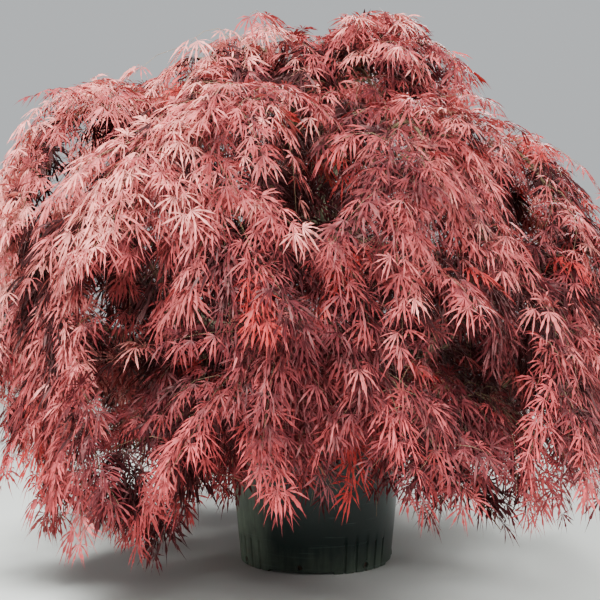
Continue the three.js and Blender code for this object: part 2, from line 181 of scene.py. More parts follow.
def pot_section():
    """From the middle of the underside, up the outside, over the rolled rim and down the inside."""
    rim_foot = POT_HEIGHT - RIM_DROP
    rim_round = RIM_PROUD / 2
    flute_top = FLUTE_HEIGHT + FLUTE_RUN_OUT
    outside = [FOOT_ROUND, FOOT_GAP_HEIGHT] + [height * MM for height in LOW_RINGS]
    outside += [FLUTE_HEIGHT, (FLUTE_HEIGHT + flute_top) / 2, flute_top]
    outside += [height * MM for height in HIGH_RINGS]
    section = [(0, 0), (POT_BASE_RADIUS - FOOT_GAP_INSET, 0), (POT_BASE_RADIUS - FOOT_ROUND, 0)]
    section += [(pot_radius(height), height) for height in outside]
    section += [(pot_radius(rim_foot), rim_foot)]
    for degrees in range(-RIM_TUCK_DEG, 180 + RIM_STEP_DEG, RIM_STEP_DEG):
        angle = math.radians(degrees)
        middle = rim_foot + rim_round if degrees < RIM_TUCK_DEG else POT_HEIGHT - rim_round
        radius = pot_radius(middle) + rim_round * (1 + math.cos(angle))
        section.append((radius, middle + rim_round * math.sin(angle)))
    section += [(pot_radius(POT_HEIGHT) - POT_WALL, POT_HEIGHT - rim_round)]
    section += [(pot_radius(FLOOR_HEIGHT) - POT_WALL, FLOOR_HEIGHT), (0, FLOOR_HEIGHT)]
    return section


def drain_place(i):
    """The middle of a drain hole on the wall, and the turn that points +X out of it."""
    turn = Matrix.Rotation(math.radians(FIRST_DRAIN_DEG + i * 360 / DRAINS), 4, "Z")
    return turn @ Matrix.Translation((pot_radius(DRAIN_HEIGHT), 0, DRAIN_HEIGHT))


def pot_body():
    bm = spun(pot_section(), COLUMNS, FIRST_DRAIN_DEG)
    flute_columns = set()
    gap_columns = set()
    for drain in range(DRAINS):
        middle = drain * DRAIN_COLUMNS
        if drain % 2:
            gap_columns.update(
                (middle + c) % COLUMNS for c in range(-FOOT_GAP_HALF_COLUMNS, FOOT_GAP_HALF_COLUMNS + 1)
            )
            continue
        for flute in range(FLUTES):
            centre = middle + (flute - FLUTES // 2) * FLUTE_COLUMNS
            flute_columns.update((centre + c) % COLUMNS for c in (-1, 0, 1))
    for vert in bm.verts:
        radius = math.hypot(vert.co.x, vert.co.y)
        if radius < POT_BASE_RADIUS - FOOT_GAP_INSET - MM:
            continue
        angle = math.degrees(math.atan2(vert.co.y, vert.co.x)) - FIRST_DRAIN_DEG
        column = round(angle * COLUMNS / 360) % COLUMNS
        outer = radius > pot_radius(vert.co.z) - POT_WALL / 2
        if column in gap_columns and vert.co.z < FOOT_GAP_HEIGHT:
            vert.co.z = FOOT_GAP_HEIGHT
        elif column in flute_columns and outer and vert.co.z < FLUTE_HEIGHT + FLUTE_RUN_OUT:
            run_out = min(1, (FLUTE_HEIGHT + FLUTE_RUN_OUT - vert.co.z) / FLUTE_RUN_OUT)
            push = 1 - FLUTE_DEPTH * run_out / radius
            vert.co.x *= push
            vert.co.y *= push
    return mesh_from(bm, "nursery_pot")


def drain_cutters():
    bm = bmesh.new()
    for drain in range(DRAINS):
        bmesh.ops.create_cone(
            bm, cap_ends=True, segments=DRAIN_SIDES, radius1=DRAIN_RADIUS, radius2=DRAIN_RADIUS,
            depth=CUTTER_DEPTH, matrix=drain_place(drain) @ Matrix.Rotation(math.pi / 2, 4, "Y"),
        )
    return mesh_from(bm, "drain_cutters")


def pot_plastic():
    """Blow-moulded polyethylene: near black with a teal cast, satin, dulled by a dry olive-grey bloom
    that runs down it in streaks and is splashed up from the ground. Thick on the left side, the same
    olive-grey is a painted highlight."""
    material, tree = new_material("blow_moulded_polyethylene")
    place = add_node(tree, "TexCoord").outputs["Object"]
    axes = add_node(tree, "SeparateXYZ", Vector=place)
    streak_scale = (1 / STREAK_WIDTH, 1 / STREAK_WIDTH, 1 / STREAK_LENGTH)
    streak_place = add_node(tree, "Mapping", Vector=place, Scale=streak_scale)
    streaks = add_node(tree, "TexNoise", Vector=streak_place, Scale=1.0, Detail=5.0, Roughness=0.6)
    blotches = add_node(tree, "TexNoise", Vector=place, Scale=1 / BLOTCH_SIZE, Detail=6.0, Roughness=0.65)
    # Painted highlight: the left side, past X = -0.12 m, is paled toward the olive-grey.
    painted_left_highlight = add_node(
        tree, "MapRange", {"interpolation_type": "SMOOTHSTEP"}, Value=axes.outputs["X"],
        From_Min=-0.12, From_Max=-0.28, To_Min=0.03, To_Max=0.95,
    )
    splash = add_node(tree, "MapRange", Value=axes.outputs["Z"], From_Min=0.11, From_Max=0.0, To_Max=0.35)
    highlight_and_splash = add_node(tree, "Math", {"operation": "ADD"}, in_0=painted_left_highlight, in_1=splash)
    patchy = add_node(tree, "Math", {"operation": "MULTIPLY"}, in_0=streaks, in_1=blotches)
    dust_and_highlight = add_node(tree, "Math", {"operation": "MULTIPLY"}, in_0=highlight_and_splash, in_1=patchy)
    dust_and_highlight_share = add_node(tree, "MapRange", Value=dust_and_highlight, From_Min=0.02, From_Max=0.34, To_Max=0.75)
    scuff_scale = (1 / SCUFF_LENGTH, 1 / SCUFF_LENGTH, 1 / SCUFF_WIDTH)
    scuff_place = add_node(tree, "Mapping", Vector=place, Rotation=(0, 0.3, 0), Scale=scuff_scale)
    scuffs = add_node(tree, "TexNoise", Vector=scuff_place, Scale=1.0, Detail=3.0, Distortion=0.4)
    scuff_share = add_node(tree, "MapRange", Value=scuffs, From_Min=0.62, From_Max=0.74, To_Max=0.5)
    scuffed = add_node(
        tree, "Mix", {"data_type": "RGBA"}, in_0=scuff_share, in_6=linear(POT_BLACK),
        in_7=linear(POT_SCUFF),
    )
    colour = add_node(
        tree, "Mix", {"data_type": "RGBA"}, in_0=dust_and_highlight_share,
        in_6=scuffed.outputs[2], in_7=linear(POT_DUST_AND_HIGHLIGHT),
    )
    roughness = add_node(tree, "MapRange", Value=dust_and_highlight_share, From_Max=0.7, To_Min=0.38, To_Max=0.85)
    grain = add_node(tree, "TexNoise", Vector=place, Scale=1 / MOULD_GRAIN, Detail=2.0)
    bump = add_node(tree, "Bump", Height=grain, Strength=0.12, Distance=0.002)
    shader = add_node(
        tree, "BsdfPrincipled", Base_Color=colour.outputs[2], Roughness=roughness,
        Normal=bump, IOR=1.36,
    )
    add_node(tree, "OutputMaterial", Surface=shader)
    return material


def cut_with(mesh, cutter_mesh):
    """The mesh with the cutter's volume taken out of it."""
    body = linked("cut_body", mesh)
    cutter = linked("cutter", cutter_mesh)
    boolean = body.modifiers.new("cut", "BOOLEAN")
    boolean.operation = "DIFFERENCE"
    boolean.solver = "EXACT"
    boolean.object = cutter
    whole = body.evaluated_get(bpy.context.evaluated_depsgraph_get())
    result = bpy.data.meshes.new_from_object(whole)
    for each in (body, cutter):
        bpy.data.objects.remove(each)
    return result


def smooth_but_sharp(mesh, degrees):
    """Smooth shading that breaks at edges sharper than this."""
    mesh.shade_smooth()
    mesh.set_sharp_from_angle(angle=math.radians(degrees))
    return mesh


POLYETHYLENE = pot_plastic()
pot_mesh = smooth_but_sharp(cut_with(pot_body(), drain_cutters()), degrees=28)
pot_mesh.materials.clear()
new_piece("nursery_pot", pot_mesh, POLYETHYLENE, "pot", "pot")

# The lips round the drain holes: a thick bead that the mould leaves, half sunk in the wall.
lips = bmesh.new()
for drain in range(DRAINS):
    lip = spun([(DRAIN_LIP_RADIUS + DRAIN_LIP_THICKNESS * math.cos(a), DRAIN_LIP_THICKNESS * math.sin(a))
                for a in np.linspace(0, math.tau, LIP_POINTS)], LIP_STEPS)
    facing_out = drain_place(drain) @ Matrix.Rotation(math.pi / 2, 4, "Y")
    bmesh.ops.transform(lip, matrix=facing_out, verts=lip.verts)
    lip_mesh = mesh_from(lip, "drain_lip")
    lips.from_mesh(lip_mesh)
    bpy.data.meshes.remove(lip_mesh)
lips_mesh = smooth_but_sharp(mesh_from(lips, "drain_lips"), degrees=60)
new_piece("drain_lips", lips_mesh, POLYETHYLENE, "pot", "pot")


# Potting mix. Composted bark chips in dark peat, a hand's width under the rim. The filling is a low
# mound with a grainy surface, and loose chips of bark lie on it, pressed in at all angles.
SOIL_LOW, SOIL_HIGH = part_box("potting_mix")
SOIL_EDGE_DROP = 6 * MM
SOIL_INSET = 3.3 * MM
SOIL_ROUGHNESS = 3.5 * MM
SOIL_LUMPS_A_METRE = 45
SOIL_SUNK_SHARE = 0.6
SOIL_RINGS = 26
SOIL_FIRST_RING = 0.03
SOIL_SIDES = 96
CHIP_SEED = 3
CHIPS = 900
CHIP_SIZE = 17 * MM
CHIP_PROPORTIONS = [1, 0.6, 0.25]
CHIP_SIZES = (0.35, 1)
CHIP_CORNERS = (0.6, 1.1)
CHIP_TILT = 0.35
SOIL_DARK = 0x1E1611
SOIL_PALE = 0x4A3627
CHIP_DARK = 0x3A281C
CHIP_PALE = 0x8A6F55


def joined_mesh(name, points, faces):
    """A mesh from an array of points and one of faces that all have the same number of corners."""
    mesh = bpy.data.meshes.new(name)
    corners = faces.shape[1]
    mesh.vertices.add(len(points))
    mesh.vertices.foreach_set("co", points.astype(np.float32).ravel())
    mesh.loops.add(faces.size)
    mesh.loops.foreach_set("vertex_index", faces.astype(np.int32).ravel())
    mesh.polygons.add(len(faces))
    mesh.polygons.foreach_set("loop_start", np.arange(len(faces), dtype=np.int32) * corners)
    mesh.update(calc_edges=True)
    return mesh


def rough_matte(name, dark, pale, pattern_size, grain_size, roughness):
    """A dull, uneven organic surface: two browns mixed by a coarse pattern, with a fine grain."""
    material, tree = new_material(name)
    place = add_node(tree, "TexCoord").outputs["Object"]
    pattern = add_node(tree, "TexNoise", Vector=place, Scale=1 / pattern_size, Detail=6.0, Roughness=0.7)
    grain = add_node(tree, "TexNoise", Vector=place, Scale=1 / grain_size, Detail=4.0)
    share = add_node(tree, "MapRange", Value=pattern, From_Min=0.36, From_Max=0.66)
    colour = add_node(tree, "Mix", {"data_type": "RGBA"}, in_0=share, in_6=linear(dark), in_7=linear(pale))
    bump = add_node(tree, "Bump", Height=grain, Strength=0.6, Distance=0.002)
    shader = add_node(tree, "BsdfPrincipled", Base_Color=colour.outputs[2], Normal=bump, Roughness=roughness)
    add_node(tree, "OutputMaterial", Surface=shader)
    return material


def soil_mound():
    foot_radius = pot_radius(SOIL_LOW.z) - POT_WALL - SOIL_INSET
    section = [(0, SOIL_LOW.z), (foot_radius, SOIL_LOW.z), (SOIL_HIGH.x, SOIL_HIGH.z - SOIL_EDGE_DROP)]
    section += [
        (SOIL_HIGH.x * (1 - share), SOIL_HIGH.z - SOIL_EDGE_DROP * (1 - share) ** 2)
        for share in np.linspace(SOIL_FIRST_RING, 1, SOIL_RINGS)
    ]
    bm = spun(section, SOIL_SIDES)
    for vert in bm.verts:
        if vert.co.z > SOIL_HIGH.z - 2 * SOIL_EDGE_DROP:
            lump = noise.noise(vert.co * SOIL_LUMPS_A_METRE) - SOIL_SUNK_SHARE
            vert.co.z += SOIL_ROUGHNESS * lump
    return smooth_but_sharp(mesh_from(bm, "bark_mix"), degrees=50)


def bark_chips():
    """Flat broken blocks of bark, each with eight corners knocked out of true."""
    random = np.random.default_rng(CHIP_SEED)
    corners = np.array([[x, y, z] for z in (-1, 1) for y in (-1, 1) for x in (-1, 1)], float)
    quads = np.array([[0, 2, 3, 1], [4, 5, 7, 6], [0, 1, 5, 4], [2, 6, 7, 3], [0, 4, 6, 2], [1, 3, 7, 5]])
    size = CHIP_SIZE * random.uniform(*CHIP_SIZES, (CHIPS, 1, 1)) * np.array(CHIP_PROPORTIONS) / 2
    blocks = corners * size * random.uniform(*CHIP_CORNERS, (CHIPS, len(corners), 3))
    turn = random.uniform(0, math.tau, CHIPS)
    tilt = random.normal(0, CHIP_TILT, (CHIPS, 2))
    around = np.stack([np.cos(turn), np.sin(turn)], 1)
    x = blocks[..., 0] * around[:, :1] - blocks[..., 1] * around[:, 1:]
    y = blocks[..., 0] * around[:, 1:] + blocks[..., 1] * around[:, :1]
    z = blocks[..., 2] + x * tilt[:, :1] + y * tilt[:, 1:]
    radius = (SOIL_HIGH.x - CHIP_SIZE / 2) * np.sqrt(random.uniform(0, 1, (CHIPS, 1)))
    angle = random.uniform(0, math.tau, (CHIPS, 1))
    level = SOIL_HIGH.z - SOIL_EDGE_DROP * (radius / SOIL_HIGH.x) ** 2
    points = np.stack([x + radius * np.cos(angle), y + radius * np.sin(angle), z + level], 2)
    faces = quads + 8 * np.arange(CHIPS)[:, None, None]
    return joined_mesh("bark_chips", points.reshape(-1, 3), faces.reshape(-1, 4))


COMPOST = rough_matte("composted_bark", SOIL_DARK, SOIL_PALE, 12 * MM, 2 * MM, 0.95)
CHIP_BARK = rough_matte("pine_bark_chips", CHIP_DARK, CHIP_PALE, 22 * MM, 1.5 * MM, 0.85)
new_piece("bark_mix", soil_mound(), COMPOST, "potting_mix", "potting_mix")
new_piece("bark_chips", bark_chips(), CHIP_BARK, "potting_mix", "potting_mix")


# Crown plan. Where every stem, bough and side twig runs, by the rule that the solids were grown by:
# tiers of weeping masses, each on one arching stem, its radius and height given where it leaves its
# bough, at the two handles of its arch and where it ends.
TIERS = {
    "crest": (1, 324, 0, [[25, 1440], [60, 1780], [270, 1870], [410, 1740]]),
    "top": (5, 10, 0.08, [[80, 1400], [220, 1770], [370, 1700], [450, 1470]]),
    "upper": (7, 38, 0.08, [[330, 1170], [520, 1570], [820, 1540], [860, 1180]]),
    "middle": (7, 12, 0.03, [[490, 820], [690, 1200], [910, 1170], [940, 760]]),
    "skirt": (7, 38, 0.01, [[530, 560], [710, 840], [890, 760], [840, 380]]),
}
SEED = 12
TURN_JITTER_DEG = 4
REACH_JITTER = 0.04
HIGH_SIDE_DEG = 175
HIGH_SIDE_LIFT = 70 * MM
CLEARANCE = 0.3 * MM
TRUNK_BASE_RADIUS = 46 * MM
TRUNK_TIP_RADIUS = 27 * MM
FORK = np.array([70, -20, 900]) * MM
TRUNK_BEND = np.array([-110, 40, 0]) * MM
BOUGH_RADIUS = 22 * MM
BOUGH_TIP_RADIUS = 11 * MM
CHILD_SHARE = 0.72
TRUNK_PLACES = [0.55, 0.63, 0.71, 0.79, 0.87, 0.95]
BOUGH_PLACES = [0.3, 0.4, 0.5, 0.6, 0.7]
BOUGH_PLACE_COST = 60 * MM
SPRING_DROP = 40 * MM
SPRING_DROP_COST = 1.6
SPRING_INWARD = 120 * MM
SPRING_INWARD_COST = 2
PARENT_SWAY = 0.6
FOOT_HANDLE = 0.4
TIP_HANDLE = 0.35
STEM_TWIGS = 4
STEM_STEPS = STEM_TWIGS + 1
TWIG_SHORTEST = 70 * MM
TWIG_SIDE_ROOM = 110 * MM
FEWEST_ROUND = 5
TWIG_TURN_DEG = 64
TWIG_TURN_JITTER_DEG = 12
TWIG_TILT_DEG = 16
TWIG_TILT_JITTER_DEG = 12
TWIG_BEND = 0.6
TWIG_DROOP = 0.5
PATH_STRETCHES = 8
MEASURING_POINTS = 201
LOWEST_TIP = 110 * MM
POT_MARGIN = 40 * MM
LIMB_MARGIN = 14 * MM
TWIG_MARGIN = 55 * MM
UP = np.array([0, 0, 1.0])


def seeded(seed):
    """Numbers from -1 to 1 that come out the same on every run."""
    state = seed
    while True:
        state = (state * 1664525 + 1013904223) % 2**32
        yield 2 * state / 2**32 - 1


def unit(vectors):
    return vectors / np.linalg.norm(vectors, axis=-1, keepdims=True)


def bezier(handles, shares):
    """Places on a curve at these shares of its parameter."""
    shares = np.asarray(shares, float)[:, None]
    points = np.repeat(np.asarray(handles, float)[:, None], len(shares), axis=1)
    while len(points) > 1:
        points = points[:-1] * (1 - shares) + points[1:] * shares
    return points[0]


def headings(handles, shares):
    return unit(bezier(np.diff(handles, axis=0), shares))


def even_shares(handles, wanted):
    """The curve's parameter at these shares of its length."""
    parameters = np.linspace(0, 1, MEASURING_POINTS)
    steps = np.linalg.norm(np.diff(bezier(handles, parameters), axis=0), axis=1)
    lengths = np.concatenate([[0], np.cumsum(steps)])
    return np.interp(np.asarray(wanted) * lengths[-1], lengths, parameters)


def places_along(handles, wanted):
    return bezier(handles, even_shares(handles, wanted))


def path_of(handles):
    return bezier(handles, np.linspace(0, 1, PATH_STRETCHES + 1))


def stretches_of(paths):
    """The starts and ends of all the straight stretches of these paths."""
    return (np.concatenate([path[:-1] for path in paths]), np.concatenate([path[1:] for path in paths]))


def distances(points, stretches):
    """How far each point is from each stretch."""
    starts, ends = stretches
    along = ends - starts
    apart = points[:, None] - starts
    share = np.clip(np.einsum("psk,sk->ps", apart, along) / (along**2).sum(1), 0, 1)
    return np.linalg.norm(apart - share[..., None] * along, axis=2)


def stem_handles(name, degrees, jitter):
    _, _, skew, arch = TIERS[name]
    high_side = math.cos(math.radians(degrees - HIGH_SIDE_DEG))
    reach = jitter * (1 + skew * high_side)
    lift = HIGH_SIDE_LIFT * high_side
    angle = math.radians(degrees)
    return np.array([
        [radius * MM * reach * math.cos(angle), radius * MM * reach * math.sin(angle), height * MM + lift]
        for radius, height in arch
    ])


def crown_plan():
    random = seeded(SEED)
    plan = []
    for name, (count, turn, _, _) in TIERS.items():
        for i in range(count):
            degrees = turn + i * 360 / count + TURN_JITTER_DEG * next(random)
            handles = stem_handles(name, degrees, 1 + REACH_JITTER * next(random))
            plan.append({"name": f"{name}_{i + 1}", "tier": name, "stem": handles, "twigs": [],
                         "paths": [path_of(handles)]})
    return plan


def grown_limbs(plan):
    """The trunk, then a bough for each mass, which springs from the best place on those before it."""
    foot = np.array([0, 0, SOIL_HIGH.z + CLEARANCE])
    third = np.array([0, 0, (FORK[2] - SOIL_HIGH.z) / 3])
    trunk = np.array([foot, foot + third, FORK + TRUNK_BEND - third, FORK])
    limbs = [{"handles": trunk, "foot": TRUNK_BASE_RADIUS, "tip": TRUNK_TIP_RADIUS,
              "places": TRUNK_PLACES, "cost": 0}]
    for mass in plan:
        tip = mass["stem"][0]
        best = None
        for parent in limbs:
            for along, point in zip(parent["places"], bezier(parent["handles"], parent["places"])):
                inward = math.hypot(*tip[:2]) - math.hypot(*point[:2])
                cost = parent["cost"] + np.linalg.norm(point - tip)
                cost += SPRING_DROP_COST * max(0, point[2] - tip[2] + SPRING_DROP)
                cost += SPRING_INWARD_COST * max(0, SPRING_INWARD - inward)
                if best is None or cost < best[0]:
                    best = (cost, parent, along, point)
        _, parent, along, spring = best
        stem_way = headings(mass["stem"], [0])[0]
        end = tip - CLEARANCE * stem_way
        length = np.linalg.norm(end - spring)
        leave = unit(unit(end - spring) + PARENT_SWAY * headings(parent["handles"], [along])[0])
        handles = np.array(
            [spring, spring + FOOT_HANDLE * length * leave, end - TIP_HANDLE * length * stem_way, end]
        )
        parent_radius = parent["foot"] + (parent["tip"] - parent["foot"]) * along
        mass["bough"] = handles
        limbs.append({"handles": handles, "foot": min(BOUGH_RADIUS, CHILD_SHARE * parent_radius),
                      "tip": BOUGH_TIP_RADIUS, "places": BOUGH_PLACES, "cost": BOUGH_PLACE_COST})
    return limbs


def surface_frame(handles, along):
    """Along the stem, sideways, and out of the crown, at a share of the stem's length."""
    share = even_shares(handles, [along])
    tangent = headings(handles, share)[0]
    point = bezier(handles, share)[0]
    skyward = unit(point * [1, 1, 0]) + UP
    side = unit(np.cross(tangent, skyward))
    return tangent, side, unit(np.cross(side, tangent))


def axis_point(handles, steps, along):
    """A place on a limb's axis, which runs straight from ring to ring."""
    ring = min(int(along * steps), steps - 1)
    ends = places_along(handles, [ring / steps, (ring + 1) / steps])
    return ends[0] + (ends[1] - ends[0]) * (along * steps - ring)


def side_twigs(mass, random):
    for i in range(STEM_TWIGS):
        along = (i + 1.5) / STEM_STEPS
        tangent, side, out = surface_frame(mass["stem"], along)
        turn = math.radians(TWIG_TURN_DEG + TWIG_TURN_JITTER_DEG * next(random))
        tilt = math.radians(TWIG_TILT_DEG + TWIG_TILT_JITTER_DEG * next(random))
        hand = -1 if i % 2 else 1
        start = axis_point(mass["stem"], STEM_STEPS, along)
        count = max(TIERS[mass["tier"]][0], FEWEST_ROUND)
        length = max(math.hypot(*start[:2]) * math.tan(math.pi / count) - TWIG_SIDE_ROOM, TWIG_SHORTEST)
        leave = tangent * math.cos(turn) + side * hand * math.sin(turn) * math.cos(tilt)
        leave = leave + out * math.sin(turn) * math.sin(tilt)
        bend = start + leave * length * TWIG_BEND
        tip = start + leave * length - UP * length * TWIG_DROOP
        yield {"handles": np.array([start, bend, tip]), "hand": hand, "frame": (tangent, side, out)}


def clear_of_limbs(points, lowest=LOWEST_TIP, margin=LIMB_MARGIN):
    """Which points lie above the ground, clear of the pot, and clear of the trunk and boughs."""
    beside_pot = np.hypot(points[:, 0], points[:, 1]) > POT_TOP_RADIUS + POT_MARGIN
    over_pot = points[:, 2] > POT_HEIGHT + POT_MARGIN
    clear = (distances(points, LIMB_STRETCHES) > LIMB_RADII + margin).all(axis=1)
    return (points[:, 2] > lowest) & (beside_pot | over_pot) & clear


PLAN = crown_plan()
LIMBS = grown_limbs(PLAN)
LIMB_STRETCHES = stretches_of([path_of(limb["handles"]) for limb in LIMBS])
LIMB_RADII = np.repeat([limb["foot"] for limb in LIMBS], PATH_STRETCHES)

twig_random = seeded(SEED + 1)
for mass in PLAN:
    others = stretches_of([path for other in PLAN if other is not mass for path in other["paths"]])
    for twig in side_twigs(mass, twig_random):
        points = places_along(twig["handles"], [0.25, 0.5, 0.75, 1])
        if clear_of_limbs(points).all() and distances(points, others).min() > TWIG_MARGIN:
            mass["twigs"].append(twig)
            mass["paths"].append(path_of(twig["handles"]))


# Trunk and boughs. One short leaning trunk with a root flare, and boughs that spring from it and from
# each other. Grey-green bark, smooth between long shallow ridges. Each limb is a tube carried along
# its curve, then pushed in and out by the bark's relief, and its foot is sunk in its parent.
FLARE = 0.55
FLARE_SHARE = 0.09
BUTTRESSES = 5
BUTTRESS_SHARE = 0.35
TRUNK_SIDES = 72
TRUNK_RINGS = 130
BOUGH_SIDES = 22
BOUGH_RINGS = 44
RIDGE_WIDTH = 9 * MM
RIDGE_LENGTH = 60 * MM
RIDGE_HEIGHT = 0.07
KNOT_SPACING = 45 * MM
KNOT_HEIGHT = 0.10
BARK_DARK = 0x3E3A2E
BARK_GREEN = 0x77785C
BARK_PALE = 0xA7A58C
FLECK_WIDTH = 7.143 * MM
FLECK_HEIGHT = 2.381 * MM
LEVEL_NUDGE = [1e-7, 2e-7, 3e-7]


def swept(centres, radii, sides):
    """Tubes along many paths at once: their rings of points, the quads, how far round and along each
    point is, as a place on a straightened limb, and its way out. The nudge gives a straight path a side."""
    ways = unit(np.gradient(centres, axis=1))
    middle = centres[:, centres.shape[1] // 2]
    bend = np.cross(middle - centres[:, 0], centres[:, -1] - middle) + LEVEL_NUDGE
    normals = unit(np.cross(ways, unit(bend)[:, None]))
    binormals = np.cross(ways, normals)
    around = np.arange(sides) * math.tau / sides
    spokes = (
        np.cos(around)[:, None] * normals[:, :, None] + np.sin(around)[:, None] * binormals[:, :, None]
    )
    points = centres[:, :, None] + radii[..., None, None] * spokes
    lengths = np.cumsum(np.linalg.norm(np.diff(centres, axis=1, prepend=centres[:, :1]), axis=2), axis=1)
    limb_count, rings = radii.shape
    place = np.stack([
        radii[..., None] * np.cos(around),
        radii[..., None] * np.sin(around),
        np.broadcast_to((lengths + np.arange(limb_count)[:, None])[..., None], points.shape[:3]),
    ], 3)
    index = np.arange(limb_count * rings * sides).reshape(limb_count, rings, sides)
    here, ahead = index[:, :-1], index[:, 1:]
    quads = np.stack([here, np.roll(here, -1, 2), np.roll(ahead, -1, 2), ahead], 3)
    return points, quads.reshape(-1, 4), place, spokes


def bark_relief(place, radii):
    """How far the bark stands out, as a share of the radius: long ridges, and slow swellings."""
    ridge_scale = Vector((1 / RIDGE_WIDTH, 1 / RIDGE_WIDTH, 1 / RIDGE_LENGTH))
    relief = []
    for point in map(Vector, place.reshape(-1, 3)):
        ridges = RIDGE_HEIGHT * noise.noise(point * ridge_scale)
        relief.append(ridges + KNOT_HEIGHT * noise.noise(point / KNOT_SPACING))
    return np.array(relief).reshape(place.shape[:3]) * radii[..., None]


def store_vectors(mesh, name, vectors):
    """Keeps a vector for each of the mesh's points, for its material to read."""
    kept = mesh.attributes.new(name, "FLOAT_VECTOR", "POINT")
    kept.data.foreach_set("vector", vectors.astype(np.float32).ravel())


def bark_mesh(name, limbs, sides, rings, flared):
    shares = np.linspace(0, 1, rings)
    centres = np.array([places_along(limb["handles"], shares) for limb in limbs])
    radii = np.array([limb["foot"] + (limb["tip"] - limb["foot"]) * shares for limb in limbs])
    points, quads, place, spokes = swept(centres, radii, sides)
    swell = bark_relief(place, radii)
    if flared:
        flare = FLARE * np.exp(-shares / FLARE_SHARE)[:, None]
        around = np.arange(sides) * math.tau / sides
        buttress = 1 + BUTTRESS_SHARE * flare * np.cos(BUTTRESSES * around)
        swell = swell + radii[..., None] * ((1 + flare) * buttress - 1)
    points = points + swell[..., None] * spokes
    mesh = joined_mesh(name, points.reshape(-1, 3), quads)
    store_vectors(mesh, "limb_place", place)
    mesh.shade_smooth()
    return mesh


def living_bark(name, dark, middle, pale):
    """Young living bark: thin, matt and greenish, with long darker furrows and pale worn flecks. The
    pattern follows each limb, as its places on the straightened limb are stored on the mesh."""
    material, tree = new_material(name)
    place = add_node(tree, "Attribute", {"attribute_name": "limb_place"}).outputs["Vector"]
    furrow_scale = (1 / RIDGE_WIDTH, 1 / RIDGE_WIDTH, 1 / RIDGE_LENGTH)
    furrow_place = add_node(tree, "Mapping", Vector=place, Scale=furrow_scale)
    furrows = add_node(tree, "TexNoise", Vector=furrow_place, Scale=1.0, Detail=6.0, Roughness=0.6)
    fleck_scale = (1 / FLECK_WIDTH, 1 / FLECK_WIDTH, 1 / FLECK_HEIGHT)
    fleck_place = add_node(tree, "Mapping", Vector=place, Scale=fleck_scale)
    flecks = add_node(tree, "TexNoise", Vector=fleck_place, Scale=1.0, Detail=2.0)
    furrow_share = add_node(tree, "MapRange", Value=furrows, From_Min=0.38, From_Max=0.6)
    fleck_share = add_node(tree, "MapRange", Value=flecks, From_Min=0.6, From_Max=0.72, To_Max=0.6)
    furrowed = add_node(
        tree, "Mix", {"data_type": "RGBA"}, in_0=furrow_share, in_6=linear(dark),
        in_7=linear(middle),
    )
    colour = add_node(
        tree, "Mix", {"data_type": "RGBA"}, in_0=fleck_share,
        in_6=furrowed.outputs[2], in_7=linear(pale),
    )
    bump = add_node(tree, "Bump", Height=furrows, Strength=0.5, Distance=0.002)
    shader = add_node(tree, "BsdfPrincipled", Base_Color=colour.outputs[2], Normal=bump, Roughness=0.8)
    add_node(tree, "OutputMaterial", Surface=shader)
    return material


MASSES = [mass["name"] for mass in PLAN]
TRUNK_BARK = living_bark("maple_bark", BARK_DARK, BARK_GREEN, BARK_PALE)
new_piece("trunk_bark", bark_mesh("trunk_bark", LIMBS[:1], TRUNK_SIDES, TRUNK_RINGS, True), TRUNK_BARK,
          "bark", "trunk")
new_piece("bough_bark", bark_mesh("bough_bark", LIMBS[1:], BOUGH_SIDES, BOUGH_RINGS, False), TRUNK_BARK,
          "bark", *[f"bough_{name}" for name in MASSES])


# Sprays. Every stem and side twig bears tufts of fine twiglets. Those of one tuft rise together, then
# part to all sides, arch over and droop, so that the crown is shingled with small mounds. They are
# what the broad blades of the solids stand for, and they reach as far.
SPRAY_SEED = 5
TUFT_GAP = 88 * MM
INNER_TUFT_GAP = 95 * MM
INNER_TUFT_SHARE = 0.30
TUFT_SPRAYS = 5
TUFT_SHIFT = (-0.2, 0.4)
TUFT_STAND = 85 * MM
TUFT_STANDS = (0.35, 1)
TUFT_AHEAD = 0.4
TUFT_SWAY = 0.8
TUFT_FORWARD = 0.5
TUFT_OUTWARD = (0.5, 1.6)
SPRAY_LENGTH = 200 * MM
SPRAY_LENGTHS = (0.5, 1.5)
SPRAY_TURN = 0.35
SPRAY_BEND = 0.45
SPRAY_ARCH = 0.1
SPRAY_TIP = 0.9
SPRAY_DROOP = 0.44
SPRAY_DROOPS = (0.4, 2.4)
HANGING_SHARE = 0.5
HANGING_REACH = 0.5
HANGING_BEND = 0.8
HANGING_LENGTH = 260 * MM
HANGING_LENGTHS = (0.6, 1.3)
TOP_HEIGHT = 1250 * MM
TOP_LIFT = 1.5
TOP_STAND = 0.35
TOP_REACH = 0.5
TOP_STIFFNESS = 0.6
BARE_STEM_SHARE = 0.03
BARE_TWIG_SHARE = 0.15
SPACE_SLACK = 175 * MM
POINTS_AT_ONCE = 2000
EDGE_STEPS = 21
FRINGE = [
    (0, 330), (40, 240), (75, 170), (110, 250), (150, 200), (172, 420), (182, 560), (190, 440), (197, 260),
    (205, 170), (212, 160), (218, 300), (225, 280), (232, 200), (240, 180), (246, 230), (252, 390),
    (259, 440), (262, 290), (270, 260), (274, 370), (279, 420), (283, 370), (286, 230), (291, 220),
    (295, 360), (299, 320), (303, 200), (311, 190), (316, 260), (322, 330), (331, 220), (338, 210),
    (345, 380),
]
SKYLINE = [
    (-1250, 1180), (-1080, 1250), (-900, 1470), (-730, 1640), (-520, 1610), (-380, 1660), (-250, 1705),
    (-50, 1780), (60, 1840), (340, 1810), (420, 1700), (530, 1590), (640, 1520), (740, 1440), (830, 1340),
    (950, 1220), (1200, 1100),
]
RAGGED_EDGE = 60 * MM
RAGGED_SKYLINE = 30 * MM
REACH_SLACK = 34 * MM
BARE_TIP_MARGIN = 40 * MM
STEM_TIP_RADIUS = 2.5 * MM
